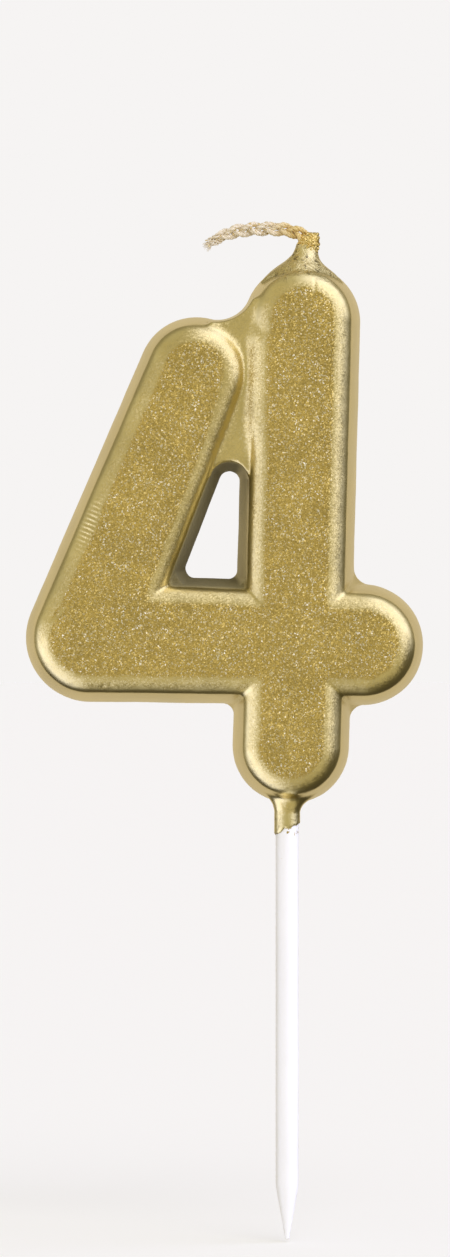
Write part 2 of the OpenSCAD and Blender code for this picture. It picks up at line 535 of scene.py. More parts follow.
@dataclass(frozen=True)
class WaxFinish:
    """Ivory paraffin under the coat.

    Attributes:
        name: The material's name.
        colour: Its colour.
        pale: Its colour in paler patches.
    """

    name: str
    colour: Colour = (0.86, 0.80, 0.66)
    pale: Colour = (0.91, 0.87, 0.76)

    def build(self, clouds: bpy.types.NodeTree) -> bpy.types.Material:
        """Builds the material from the soft patches group."""
        material, n = new_material(self.name)
        patch = n.group(clouds, {"Size": 3 * MM, "Seed": 5.0}).outputs[0]
        place = n.add("TexCoord").outputs["Object"]
        ripple = n.add("TexNoise", {"Vector": place, "Scale": 900.0, "Detail": 3.0})
        bump = n.add("Bump", {"Height": ripple.outputs["Fac"], "Distance": 0.03 * MM, "Strength": 0.6})
        shader = n.add("BsdfPrincipled", {
            "Base Color": n.mix(patch, rgba(self.colour), rgba(self.pale)),
            "Roughness": n.ramp(patch, 0.0, 1.0, 0.42, 0.55), "Subsurface Weight": 0.4,
            "Subsurface Scale": 0.002, "Normal": bump.outputs[0]})
        n.add("OutputMaterial", {"Surface": shader.outputs[0]})
        return material


@dataclass(frozen=True)
class PlasticFinish:
    """Semi-gloss white plastic, with a few crumbs of gold near the neck.

    Attributes:
        name: The material's name.
        colour: Its colour.
        crumb: Colour of the gold crumbs.
        crumbs_from: Height at which the crumbs begin.
        crumbs_to: Height at which they are thickest.
    """

    name: str
    colour: Colour = (0.93, 0.925, 0.92)
    crumb: Colour = (0.62, 0.47, 0.16)
    crumbs_from: float = -1.6 * MM
    crumbs_to: float = 1.0 * MM

    def build(self, clouds: bpy.types.NodeTree) -> bpy.types.Material:
        """Builds the material from the soft patches group."""
        material, n = new_material(self.name)
        patch = n.group(clouds, {"Size": 6 * MM, "Seed": 8.0}).outputs[0]
        place = n.add("TexCoord").outputs["Object"]
        height = n.add("SeparateXYZ", {0: place}).outputs[2]
        near = n.ramp(height, self.crumbs_from, self.crumbs_to)
        spots = n.add("TexNoise", {"Vector": place, "Scale": 2600.0, "Detail": 2.0})
        limit = n.maths("SUBTRACT", 0.80, n.maths("MULTIPLY", near, 0.22))
        gilt = n.maths("GREATER_THAN", spots.outputs["Fac"], limit)
        tone = n.mix(patch, rgba(tuple(c * 0.975 for c in self.colour)), rgba(self.colour))
        skin = n.add("TexNoise", {"Vector": place, "Scale": 1800.0, "Detail": 2.0})
        bump = n.add("Bump", {"Height": skin.outputs["Fac"], "Distance": 0.006 * MM, "Strength": 0.5})
        shader = n.add("BsdfPrincipled", {
            "Base Color": n.mix(gilt, tone, rgba(self.crumb)), "Metallic": gilt,
            "Roughness": n.ramp(patch, 0.0, 1.0, 0.30, 0.38), "Normal": bump.outputs[0]})
        n.add("OutputMaterial", {"Surface": shader.outputs[0]})
        return material


@dataclass(frozen=True)
class CottonFinish:
    """Cream cotton braid, stiff with wax and dusted with gilt.

    Attributes:
        name: The material's name.
        cream: Colour of the bare cotton.
        shade: Painted shade between its fibres, where their relief is low.
        gilt: Colour of the gold dust.
        washed: Colour near the root, where gold lacquer has run up the cotton.
        wash_x: Where along X the wash fades, from bare to washed.
    """

    name: str
    cream: Colour = (0.88, 0.79, 0.60)
    shade: Colour = (0.66, 0.54, 0.34)
    gilt: Colour = (0.86, 0.66, 0.24)
    washed: Colour = (0.80, 0.62, 0.28)
    wash_x: Span = (-2.5 * MM, 1.6 * MM)

    def build(self, sparkle: bpy.types.NodeTree, clouds: bpy.types.NodeTree) -> bpy.types.Material:
        """Builds the material.

        Args:
            sparkle: The metal flakes group.
            clouds: The soft patches group.

        Returns:
            The material.
        """
        material, n = new_material(self.name)
        along = n.maths("MULTIPLY", n.attribute("along"), 1400.0)
        around = n.maths("MULTIPLY", n.attribute("around"), 7.0)
        seed = n.maths("MULTIPLY", n.attribute("thread"), 3.7)
        lay = n.add("CombineXYZ", {0: along, 1: n.maths("ADD", around, n.maths("MULTIPLY", along, 0.8)),
                                   2: seed})
        fibres = n.add("TexNoise", {"Vector": lay.outputs[0], "Scale": 1.3, "Detail": 3.0,
                                    "Roughness": 0.65})
        share = n.ramp(fibres.outputs["Fac"], 0.32, 0.62)
        grain = n.group(sparkle, {"Size": 0.16 * MM, "Tilt": 0.5, "Relief": 0.03 * MM, "Mask": 1.0})
        patch = n.group(clouds, {"Size": 0.9 * MM, "Seed": 11.0}).outputs[0]
        x = n.add("SeparateXYZ", {0: n.add("TexCoord").outputs["Object"]}).outputs[0]
        wash = n.ramp(x, *self.wash_x)
        # Painted shade: the low places of the fibre relief take the darker shade colour.
        colour = n.mix(share, rgba(self.shade), rgba(self.cream))
        colour = n.mix(wash, colour, rgba(self.washed))
        dust = n.maths("MULTIPLY", grain.outputs["Glint"], n.ramp(patch, 0.0, 1.0, 0.25, 1.0))
        dust = n.maths("MAXIMUM", dust, n.maths("MULTIPLY", wash, 0.6))
        colour = n.mix(dust, colour, rgba(self.gilt))
        bump = n.add("Bump", {"Height": fibres.outputs["Fac"], "Distance": 0.05 * MM, "Strength": 0.8,
                              "Normal": grain.outputs["Normal"]})
        shader = n.add("BsdfPrincipled", {
            "Base Color": colour, "Metallic": dust, "Normal": bump.outputs[0],
            "Roughness": n.ramp(fibres.outputs["Fac"], 0.3, 0.7, 0.65, 0.45)})
        n.add("OutputMaterial", {"Surface": shader.outputs[0]})
        return material


# ---------------------------------------------------------------- the figure


@dataclass
class Stroke:
    """One round-ended stroke of the figure, in the figure's own plane.

    Attributes:
        start: Centre of its first end, right and up from the foot's centre.
        start_r: Half width there.
        end: Centre of its other end.
        end_r: Half width there.
    """

    start: tuple[float, float]
    start_r: float
    end: tuple[float, float]
    end_r: float


@dataclass
class Corner:
    """A wedge that rounds an inside corner of the outline, in world millimetres.

    Attributes:
        centre: Centre of the rounding, as x and z.
        radius: Its radius at the back.
        block: Left, low, right and high side of the block that the wedge is cut from.
        flare: How much wider the rounding is at the front.
        top: How far the wedge's front stands before the crease of the shoulder.
    """

    centre: tuple[float, float]
    radius: float
    block: tuple[float, float, float, float]
    flare: float = 2.2
    top: float = -0.15


@dataclass
class Mark:
    """A small flaw of the moulded face, in world millimetres.

    Attributes:
        place: Its centre, as x and z.
        turn_deg: Its long direction, up from +X.
        half_long: Half its length.
        half_wide: Half its width.
        depth: How deep it goes; below 0 it stands proud.
        ripples: Number of ridges along it, 0 for a plain dent.
    """

    place: tuple[float, float]
    turn_deg: float
    half_long: float
    half_wide: float
    depth: float
    ripples: int = 0

    def sunk(self, x: float, z: float) -> float:
        """Gives how deep the mark goes at x and z, all in millimetres."""
        dx, dz = x - self.place[0], z - self.place[1]
        c, s = math.cos(math.radians(self.turn_deg)), math.sin(math.radians(self.turn_deg))
        u, v = (dx * c + dz * s) / self.half_long, (dz * c - dx * s) / self.half_wide
        far = u * u + v * v
        if far > 5:
            return 0.0
        fall = math.exp(-1.6 * far)
        if self.ripples:
            fall *= 0.5 + 0.5 * math.sin(u * self.ripples * math.pi)
        return self.depth * fall


@dataclass
class Figure:
    """The moulded figure 4 with its gold skin and its wax core.

    Attributes:
        half_t: Half the figure's thickness, front to back.
        lean_deg: Lean of the figure on its pick.
        draft: Width of the drafted side wall, seen from the front.
        shoulder_r: Radius of the rounded shoulder.
        shoulder_turn_deg: Turn of the shoulder, from the flat face to the side wall.
        wide_r: Radius of the stem's wide left shoulder, in millimetres.
        back_r: Radius of the back's edge.
        facets: Vertices round a stroke's ends; half of them is odd, so none lies where they part.
        voxel: Cell size of the remesh that fuses the strokes.
        face_limit: Largest number of triangles kept in the skin.
        coat_t: Depth from the skin's outside to the wax core.
        foot: The foot's centre in world millimetres.
        strokes: The three strokes.
        corners: The rounded inside corners.
        cone: Rings of the wax cone round the wick: centre x, half width, half depth and z.
        neck: Rings of the flare over the pick, given as the cone is.
        groove: The valley's line round the arm's end and down to the counter, as x and z.
        groove_soft: Distances from that line over which the smoothing fades out.
        stem_soft: Centre of the soft top of the stem's left shoulder, as x and z.
        stem_soft_r: Distances from it over which the smoothing fades out.
        soft_steps: Steps of the local smoothing.
        valley_z: Height above which the valley is worked.
        wide_from: Heights between which the stem's left shoulder grows wide.
        wide_drop: Heights between which it drops towards the notch, and how far.
        shoulder_x: From the stem's middle to where its flat face ends.
        swell: Scale and height of the skin's slow waves, in millimetres.
        dimple: Scale and height of its small waves.
        speckle: Scale and height of the fine unevenness on its slopes.
        counter: Left, low, right and high side of the counter with its walls.
        marks: Small flaws of the face.
        round_facets: Sides of the cone, the neck and the corner cutters.
        core_share: Share of the skin's triangles that the core keeps.
    """

    half_t: float = 5 * MM
    lean_deg: float = 1.5
    draft: float = 1.1 * MM
    shoulder_r: float = 2.75 * MM
    shoulder_turn_deg: float = 65
    wide_r: float = 3.9
    back_r: float = 1.2 * MM
    facets: int = 98
    voxel: float = 0.17 * MM
    face_limit: int = 190_000
    coat_t: float = 0.2 * MM
    foot: tuple[float, float, float] = (0.45, 0, 9.8)
    strokes: list[Stroke] = field(default_factory=lambda: [
        Stroke((0, 0), 6.5, (0, 47.1), 6.5),
        Stroke((-22.7, 11.4), 7.15, (7.7, 11.4), 6.75),
        Stroke((-22.7, 11.4), 7.15, (-11.6, 40.9), 6.5),
    ])
    corners: list[Corner] = field(default_factory=lambda: [
        Corner((9.475, 29.68), 2.0, (5.5, 25.3, 9.24, 29.68)),
        Corner((8.73, 12.545), 1.7, (4.6, 12.545, 8.72, 17.0)),
        Corner((-7.26, 13.145), 1.3, (-7.26, 13.145, -2.9, 17.6), flare=1.9),
        Corner((-7.75, 61.02), 3.8, (-8.61, 48.0, -2.0, 59.49), flare=0.5, top=0.0),
        Corner((-6.62, 29.43), 1.1, (-6.62, 25.5, -2.5, 29.43), flare=1.2, top=-1.0),
        Corner((-10.14, 29.56), 1.1, (-14.0, 25.5, -10.14, 29.97), flare=1.2, top=-1.0),
        Corner((-6.42, 39.14), 1.15, (-8.6, 39.57, -4.0, 48.2), flare=1.0, top=0.0),
    ])
    cone: tuple[tuple[float, float, float, float], ...] = (
        (1.6, 4.6, 1.5, 61.2), (1.6, 3.65, 3.3, 62.25), (1.56, 2.8, 2.75, 62.9), (1.73, 1.95, 1.95, 63.6),
        (2.0, 1.45, 1.4, 64.3), (2.1, 1.22, 1.15, 65.0), (2.15, 1.15, 1.0, 65.5))
    neck: tuple[tuple[float, float, float, float], ...] = (
        (0.0, 1.42, 1.42, 2.0), (0.0, 1.42, 1.42, 2.4), (0.02, 1.48, 1.46, 2.75), (0.06, 1.62, 1.53, 3.1),
        (0.15, 1.86, 1.6, 3.45), (0.28, 2.25, 1.66, 3.8), (0.42, 2.75, 1.7, 4.2), (0.45, 3.0, 1.7, 4.7))
    groove: tuple[tuple[float, float], ...] = (
        (-8.7, 56.8), (-6.3, 55.4), (-5.2, 53.4), (-4.9, 51.5), (-5.4, 48.5), (-6.2, 46.0), (-6.5, 43.0))
    groove_soft: Span = (1.2, 3.0)
    stem_soft: Span = (-2.7, 57.8)
    stem_soft_r: Span = (1.6, 3.2)
    soft_steps: int = 60
    valley_z: float = 38 * MM
    wide_from: Span = (40.5, 46.5)
    wide_drop: tuple[float, float, float] = (54.5, 61.5, 2.4)
    shoulder_x: float = 2.9
    swell: Span = (210.0, 0.045)
    dimple: Span = (700.0, 0.012)
    speckle: Span = (2600.0, 0.008)
    counter: tuple[float, float, float, float] = (-14, 27, -4, 43)
    round_facets: int = 64
    core_share: float = 0.2
    marks: list[Mark] = field(default_factory=lambda: [
        Mark((-21.8, 34.0), 68, 2.8, 0.9, 0.13, ripples=11),
        Mark((-25.0, 24.9), 35, 0.9, 0.17, 0.15),
        Mark((-25.5, 24.2), 35, 0.8, 0.15, 0.13),
        Mark((-20.4, 16.4), 20, 0.3, 0.16, 0.05),
        Mark((-19.5, 16.6), 130, 0.2, 0.13, 0.04),
        Mark((3.0, 60.3), 88, 1.1, 0.13, 0.09),
        Mark((-10.8, 32.1), 60, 0.5, 0.3, 0.06),
        Mark((8.4, 40.5), 85, 0.6, 0.18, 0.05),
    ])

    def stroke_solid(self, index: int, stroke: Stroke) -> bpy.types.Object:
        """Models one stroke: a drum drawn out to a bar, its faces inset ring by ring.

        Args:
            index: The stroke's number.
            stroke: Its ends.

        Returns:
            The closed solid, in place.
        """
        start, end = (Vector((p[0], 0, p[1])) * MM for p in (stroke.start, stroke.end))
        along = end - start
        belt = 0.2 * MM
        widest = self.half_t - self.back_r
        deselect()
        bpy.ops.mesh.primitive_cylinder_add(
            vertices=self.facets, radius=stroke.start_r * MM, depth=belt, end_fill_type="NGON",
            location=(0, widest - belt / 2, 0), rotation=(math.pi / 2, 0, 0))
        obj = bpy.context.object
        obj.name = f"stroke_{index}"
        settle(obj)
        with editing(obj):
            pick_where(obj, "VERT", lambda co, _: co.z > 0)
            bpy.ops.transform.translate(value=(0, 0, along.length))
            size = stroke.end_r / stroke.start_r
            bpy.ops.transform.resize(value=(size, 1, size),
                                     center_override=(0, widest - belt / 2, along.length))
        with editing(obj, "FACE"):
            pick_where(obj, "FACE", lambda _, normal: normal.y < -0.9)
            for inward, forward in self.front_steps(widest - belt):
                bpy.ops.mesh.inset(thickness=inward, depth=forward)
            pick_where(obj, "FACE", lambda co, normal: normal.y > 0.9 and co.y > widest - belt / 2)
            for inward, backward in self.back_steps():
                bpy.ops.mesh.inset(thickness=inward, depth=backward)
        lean = Matrix.Rotation(math.radians(self.lean_deg), 4, "Y")
        turn = Matrix.Rotation(math.atan2(along.x, along.z), 4, "Y")
        obj.matrix_world = (Matrix.Translation(Vector(self.foot) * MM) @ lean
                            @ Matrix.Translation(start) @ turn)
        settle(obj)
        return obj

    def front_steps(self, belt_y: float) -> Iterator[tuple[float, float]]:
        """Gives each ring of the front as how far it goes in and forward from the last.

        Args:
            belt_y: Where the belt's front edge is, from the mid-plane.

        Yields:
            The inward and the forward step.
        """
        turn = math.radians(self.shoulder_turn_deg)
        wall = belt_y + self.half_t - self.shoulder_r * (1 - math.cos(turn))
        wall_rings = 6
        for i in range(wall_rings):
            low, high = i / wall_rings, (i + 1) / wall_rings
            yield self.draft * (high ** 1.5 - low ** 1.5), wall / wall_rings
        rings = 12
        for i in range(rings, 0, -1):
            a, b = turn * i / rings, turn * (i - 1) / rings
            yield (self.shoulder_r * (math.sin(a) - math.sin(b)),
                   self.shoulder_r * (math.cos(b) - math.cos(a)))

    def back_steps(self) -> Iterator[tuple[float, float]]:
        """Gives each ring of the back's rounded edge, as front_steps does."""
        rings = 5
        for i in range(rings):
            a, b = (math.pi / 2 * k / rings for k in (i, i + 1))
            yield (self.back_r * (math.cos(a) - math.cos(b)),
                   self.back_r * (math.sin(b) - math.sin(a)))

    def corner_solid(self, index: int, corner: Corner) -> bpy.types.Object:
        """Models one corner wedge: a block with a flaring round cut out of it.

        Args:
            index: The wedge's number.
            corner: Its rounding.

        Returns:
            The closed wedge.
        """
        left, low, right, high = (c * MM for c in corner.block)
        back = self.half_t - self.back_r
        rise = self.shoulder_r * (1 - math.cos(math.radians(self.shoulder_turn_deg)))
        front = -self.half_t + rise - corner.top * MM
        deselect()
        bpy.ops.mesh.primitive_cube_add(
            size=1, location=((left + right) / 2, (back + front) / 2, (low + high) / 2))
        block = bpy.context.object
        block.name = f"corner_{index}"
        block.scale = (right - left, back - front, high - low)
        settle(block)
        deselect()
        x, z = (c * MM for c in corner.centre)
        bpy.ops.mesh.primitive_cone_add(
            vertices=self.round_facets,
            radius1=(corner.radius + corner.flare) * MM, radius2=corner.radius * MM,
            depth=back - front + 0.02 * MM, location=(x, (back + front) / 2, z),
            rotation=(-math.pi / 2, 0, 0))
        cutter = bpy.context.object
        settle(cutter)
        apply_modifier(block, "BOOLEAN", operation="DIFFERENCE", object=cutter, solver="EXACT")
        bpy.data.objects.remove(cutter)
        return block

    def worn(self, co: Vector, normal: Vector) -> float:
        """Gives how far a point of the skin lies below its true shape, in metres.

        Args:
            co: The point.
            normal: The skin's normal there.

        Returns:
            The depth, below 0 where the skin stands proud.
        """
        apart = Vector((9, 4, 2))
        wave = (noise.noise(co * self.swell[0]) * self.swell[1]
                + noise.noise(co * self.dimple[0] + apart) * self.dimple[1])
        slope = smoothstep(0.02, 0.3, 1 - abs(normal.y))
        sunk = wave + noise.noise(co * self.speckle[0]) * self.speckle[1] * slope
        if normal.y < -0.3:
            sunk += sum(mark.sunk(co.x / MM, co.z / MM) for mark in self.marks)
        return sunk * MM

    def broadened(self, co: Vector, normal: Vector) -> Vector:
        """Gives a point's place once the stem's left shoulder is drawn out wide above the counter.

        Args:
            co: The point.
            normal: The skin's normal there.

        Returns:
            Its new place.
        """
        x, y, z = (c / MM for c in co)
        share = smoothstep(*self.wide_from, z)
        foot_x, _, foot_z = self.foot
        middle = foot_x + (z - foot_z) * math.sin(math.radians(self.lean_deg))
        across = middle - self.shoulder_x - x
        if share <= 0 or z > 61 or y > -2.4 or normal.y > -0.2 or not 0 < across < self.wide_r:
            return co
        from_z, to_z, drop = self.wide_drop
        depth = (self.wide_r - math.sqrt(self.wide_r ** 2 - across ** 2)
                 + drop * smoothstep(from_z, to_z, z))
        lifted = min(y, -self.half_t / MM + depth)
        return Vector((co.x, (y + (lifted - y) * share) * MM, co.z))

    def softness(self, co: Vector) -> float:
        """Gives how far a point is smoothed, from 0 to 1: by the groove, the cone and the neck."""
        if co.z < 6 * MM:
            return (smoothstep(3.0, 3.5, co.z / MM) * (1 - smoothstep(4.4, 5.2, co.z / MM))
                    * (1 - smoothstep(2.8, 3.8, abs(co.x / MM - 0.4))))
        if co.z > 61 * MM:
            return (smoothstep(61.6, 62.4, co.z / MM) * (1 - smoothstep(63.3, 64.2, co.z / MM))
                    * smoothstep(-1, 0.5, -co.y / MM))
        if co.y > -2.2 * MM or not -12 * MM < co.x < MM or co.z < self.valley_z:
            return 0.0
        gap = self.groove_gap(co)
        top_gap = math.hypot(co.x / MM - self.stem_soft[0], co.z / MM - self.stem_soft[1])
        near = max(1 - smoothstep(*self.groove_soft, gap), 1 - smoothstep(*self.stem_soft_r, top_gap))
        return near * smoothstep(2.2, 2.9, -co.y / MM)

    def groove_gap(self, co: Vector) -> float:
        """Gives the distance of a point from the groove's line, in millimetres."""
        point = Vector((co.x, co.z)) / MM
        gaps = []
        for a, b in zip(self.groove, self.groove[1:]):
            start, way = Vector(a), Vector(b) - Vector(a)
            share = min(max((point - start).dot(way) / way.length_squared, 0.0), 1.0)
            gaps.append((point - start - way * share).length)
        return min(gaps)

    def fused(self) -> bpy.types.Object:
        """Builds every solid of the figure and fuses them into one even skin.

        Returns:
            The skin, not yet dressed.
        """
        solids = [self.stroke_solid(i, stroke) for i, stroke in enumerate(self.strokes)]
        solids += [self.corner_solid(i, corner) for i, corner in enumerate(self.corners)]
        solids.append(loft("cone", rings_of(self.cone), self.round_facets))
        solids.append(loft("neck", rings_of(self.neck), self.round_facets))
        skin = joined("gilt_skin", solids)
        apply_modifier(skin, "REMESH", mode="VOXEL", voxel_size=self.voxel, adaptivity=0.0)
        apply_modifier(skin, "SMOOTH", factor=0.5, iterations=3)
        reshape(skin, self.broadened)
        soft = skin.vertex_groups.new(name="soft")
        for vertex in skin.data.vertices:
            if (share := self.softness(vertex.co)) > 0:
                soft.add([vertex.index], share, "REPLACE")
        apply_modifier(skin, "SMOOTH", factor=0.5, iterations=self.soft_steps, vertex_group="soft")
        skin.vertex_groups.clear()
        reshape(skin, lambda co, normal: co - normal * self.worn(co, normal))
        triangles = sum(len(polygon.vertices) - 2 for polygon in skin.data.polygons)
        apply_modifier(skin, "DECIMATE", ratio=min(1.0, self.face_limit / triangles))
        return smooth_shaded(skin)

    def dress(self, skin: bpy.types.Object) -> None:
        """Paints where the skin is sandy, where it is crusted and where it carries painted shade.

        Args:
            skin: The skin.
        """
        paint(skin, "sand", self.sand_at)
        paint(skin, "crust", self.crust_at)
        paint(skin, "counter_shade", self.counter_shade_at)

    def sand_at(self, co: Vector, normal: Vector) -> float:
        """Gives how sandy the skin is: fully on the flat face, fading out down the shoulder."""
        patchy = 0.35 * noise.noise(co * 900.0)
        flat = 1 - smoothstep(0.2, 1.5, (1 + normal.y) * 22 + patchy)
        if co.z > self.valley_z:
            flat *= smoothstep(1.3, 2.6, self.groove_gap(co) + 0.8 * patchy)
        thin = 0.35 * (1 - smoothstep(0.1, 0.45, 1 + normal.y + 0.4 * patchy))
        below_cone = 1 - smoothstep(60.5, 61.5, co.z / MM)
        return max(flat * smoothstep(3.7, 4.3, -co.y / MM), thin) * below_cone

    def counter_shade_at(self, co: Vector, normal: Vector) -> float:
        """Gives the painted shade on the counter's walls, lighter on the stem's wall; the lacquer is also
        dulled there.
        """
        x, z = co.x / MM, co.z / MM
        left, low, right, high = self.counter
        if not (left < x < right and low < z < high) or co.y > 4.2 * MM:
            return 0.0
        wall = max(smoothstep(0.5, 0.85, 1 + normal.y), smoothstep(-3.1, -2.7, co.y / MM))
        inside = smoothstep(-13.5, -12.5, x) * (1 - smoothstep(-4.7, -4.2, x))
        # The painted shade is lighter on the stem's wall, whose normal faces -X.
        stem_side = 0.45 + 0.55 * (1 - smoothstep(-0.9, -0.4, normal.x))
        return wall * inside * (1 - smoothstep(41.2, 42.2, z)) * (1.45 - stem_side)

    def crust_at(self, co: Vector, normal: Vector) -> float:
        """Gives how crusted the skin is at a point, from 0 to 1, as on the cone and the neck."""
        cone = smoothstep(60.4, 63.0, co.z / MM + 0.9 * noise.noise(co * 500.0))
        neck = 0.35 * (1 - smoothstep(2.2, 3.2, co.z / MM))
        return max(0.85 * cone, neck)

    def build(self, gold: bpy.types.Material, wax: bpy.types.Material) -> list[bpy.types.Object]:
        """Builds the gold skin and the wax core inside it.

        Args:
            gold: The skin's material.
            wax: The core's material.

        Returns:
            The two pieces.
        """
        skin = self.fused()
        core = skin.copy()
        core.data = skin.data.copy()
        core.name = core.data.name = "wax_core"
        bpy.context.collection.objects.link(core)
        self.dress(skin)
        apply_modifier(core, "DECIMATE", ratio=self.core_share)
        apply_modifier(core, "DISPLACE", strength=-self.coat_t, mid_level=0.0)
        smooth_shaded(core)
        for piece, material, slot, node in ((skin, gold, Slot.GOLD_COAT, "gold_coat"),
                                            (core, wax, Slot.WAX, "wax_body")):
            finish_piece(piece, material, Body.CANDLE, [node])
        return [skin, core]


# ---------------------------------------------------------------- neck, root and pick


@dataclass
class Neck:
    """The ragged gold film that runs down over the top of the pick.

    Attributes:
        radius: Its outside radius.
        inner: Its inside radius.
        top: Height of its upper end, inside the flare.
        slant: How much higher its edge is on the right than on the left.
        facets: Sides of the film.
        heights: Heights of its rings before its edge is ragged, in millimetres.
        lip: How far its thin lower lip stands off the inside radius.
        film_t: Its thickness.
        crust: How crusted it is.
    """

    radius: float = 1.435 * MM
    inner: float = 1.26 * MM
    top: float = 2.3 * MM
    slant: float = 1.2 * MM
    facets: int = 120
    heights: tuple[float, ...] = (0.08, 0.2, 0.4, 0.7, 1.1, 1.5, 1.9, 2.3)
    lip: float = 0.03 * MM
    film_t: float = 0.14 * MM
    crust: float = 0.35

    def edge(self, x: float, y: float) -> float:
        """Gives the height of the ragged lower edge at a place round the neck."""
        turn = Vector((x, y, 0)).normalized()
        rough = (noise.noise(turn * 2.3) * 0.28 + noise.noise(turn * 7.0) * 0.16
                 + noise.noise(turn * 19.0) * 0.06)
        return self.slant * (1 + turn.x) / 2 + rough * MM

    def ragged(self, co: Vector, _: Vector) -> Vector:
        """Gives a point's place once the film's lower edge is ragged."""
        low = self.edge(co.x, co.y)
        share = co.z / self.top
        bump = noise.noise(co * 1500.0) * 0.02 * MM * (1 - share)
        out = Vector((co.x, co.y, 0)).normalized() * bump
        return Vector((co.x, co.y, low + (self.top - low) * share)) + out

    def build(self, gold: bpy.types.Material) -> bpy.types.Object:
        """Builds the film.

        Args:
            gold: Its material.

        Returns:
            The piece.
        """
        deselect()
        bpy.ops.mesh.primitive_circle_add(vertices=self.facets, radius=self.inner + self.lip,
                                          fill_type="NOTHING")
        obj = bpy.context.object
        with editing(obj, "EDGE"):
            bpy.ops.mesh.select_all(action="SELECT")
            last_z, last_r = 0.0, self.inner + self.lip
            for step, z in enumerate(self.heights):
                radius = self.radius if step else (self.radius + last_r) / 2
                bpy.ops.mesh.extrude_region_move(
                    TRANSFORM_OT_translate={"value": (0, 0, z * MM - last_z)})
                bpy.ops.transform.resize(value=(radius / last_r, radius / last_r, 1),
                                         center_override=(0, 0, z * MM))
                last_z, last_r = z * MM, radius
        reshape(obj, self.ragged)
        apply_modifier(obj, "SOLIDIFY", thickness=self.film_t, offset=-1.0)
        sleeve = joined("neck_sleeve", [obj])
        smooth_shaded(sleeve, 50)
        crust_all_over(sleeve, self.crust)
        finish_piece(sleeve, gold, Body.CANDLE, ["pick_neck"])
        return sleeve


@dataclass
class WickRoot:
    """The crumpled gold crust where the wick comes out of its cone and folds over.

    Attributes:
        rings: Its rings: centre x, half width, half depth and z, in millimetres.
        crumple: Height of its crumpled facets.
        facets: Sides of its loft.
        voxel: Cell size of its remesh.
        kept_share: Share of the remesh's triangles that are kept.
    """

    rings: tuple[tuple[float, float, float, float], ...] = (
        (2.3, 1.1, 1.1, 63.6), (2.32, 1.1, 1.12, 64.2), (2.3, 1.2, 1.15, 64.8), (2.36, 1.25, 1.1, 65.3),
        (2.42, 1.2, 1.0, 65.8), (2.5, 1.1, 0.85, 66.2), (2.6, 0.95, 0.65, 66.5), (2.75, 0.6, 0.35, 66.7))
    crumple: float = 0.16 * MM
    facets: int = 40
    voxel: float = 0.05 * MM
    kept_share: float = 0.6

    def crumpled(self, co: Vector, normal: Vector) -> Vector:
        """Gives a point's place on the crumpled crust."""
        fold = noise.voronoi(co * 1900.0)[0]
        lift = smoothstep(0.0, 0.45, fold[1] - fold[0]) - 0.55 + 0.35 * noise.noise(co * 4200.0)
        return co + normal * lift * self.crumple * smoothstep(64.3 * MM, 65.0 * MM, co.z)

    def build(self, gold: bpy.types.Material) -> bpy.types.Object:
        """Builds the crust.

        Args:
            gold: Its material.

        Returns:
            The piece.
        """
        lump = loft("wick_root", rings_of(self.rings), self.facets)
        apply_modifier(lump, "REMESH", mode="VOXEL", voxel_size=self.voxel, adaptivity=0.0)
        reshape(lump, self.crumpled)
        apply_modifier(lump, "DECIMATE", ratio=self.kept_share)
        smooth_shaded(lump, 40)
        crust_all_over(lump, 1.0)
        finish_piece(lump, gold, Body.CANDLE, ["wick_collar"])
        return lump


@dataclass
class Pick:
    """The white plastic pick: a pointed round rod with barbs on its cast-in end.

    Attributes:
        radius: Radius of the rod.
        reach: How far it goes down below the neck.
        point: Length of its point.
        point_r: Radius at the very tip.
        cast_r: Radius of the cast-in end.
        cast_top: Height of the cast-in end's top.
        barbs: Heights of the barbs.
        barb_r: Radius of a barb's rim.
        barb_h: Height of a barb.
        stations: Heights of the plain rod's rings.
        facets: Sides of the rod.
        seam: Height of the mould's parting line.
    """

    radius: float = 1.25 * MM
    reach: float = 45 * MM
    point: float = 6 * MM
    point_r: float = 0.25 * MM
    cast_r: float = 1.0 * MM
    cast_top: float = 20 * MM
    barbs: tuple[float, ...] = (7 * MM, 11 * MM, 15 * MM)
    barb_r: float = 1.7 * MM
    barb_h: float = 1.5 * MM
    stations: tuple[float, ...] = (-30 * MM, -20 * MM, -10 * MM, -1.5 * MM, 1.9 * MM)
    facets: int = 72
    seam: float = 0.025 * MM

    def outline(self) -> list[tuple[float, float]]:
        """Gives the rod's rings from tip to top, as radius and height."""
        low = -self.reach
        rings = [(self.point_r * math.sin(a), low + self.point_r * (1 - math.cos(a)))
                 for a in (0.35, 0.8, 1.25)]
        rings += [(self.point_r + (self.radius - self.point_r) * t, low + self.point_r + (
            self.point - self.point_r) * t) for t in (0.02, 0.25, 0.5, 0.75, 0.96)]
        rings += [(self.radius, z) for z in (low + self.point + 0.3 * MM, *self.stations)]
        rings += [(self.radius - 0.05 * MM, 2.0 * MM), (self.cast_r, 2.05 * MM)]
        for barb in self.barbs:
            rings += [(self.cast_r, barb - 0.02 * MM), (self.barb_r, barb),
                      (self.barb_r, barb + 0.1 * MM), (self.cast_r, barb + self.barb_h)]
        rings += [(self.cast_r, self.cast_top - 0.1 * MM), (self.cast_r - 0.1 * MM, self.cast_top)]
        return rings

    def build(self, plastic: bpy.types.Material) -> bpy.types.Object:
        """Builds the pick.

        Args:
            plastic: Its material.

        Returns:
            The piece.
        """
        rings = [Ring(Vector((0, 0, z)), r, r) for r, z in self.outline()]
        rod = loft("plastic_pick", rings, self.facets)
        for vertex in rod.data.vertices:
            if abs(vertex.co.y) < 0.02 * MM and abs(vertex.co.x) > 0.8 * MM:
                vertex.co.x += math.copysign(self.seam, vertex.co.x)
        smooth_shaded(rod, 35)
        finish_piece(rod, plastic, Body.CANDLE, ["pick"])
        return rod


# ---------------------------------------------------------------- wick


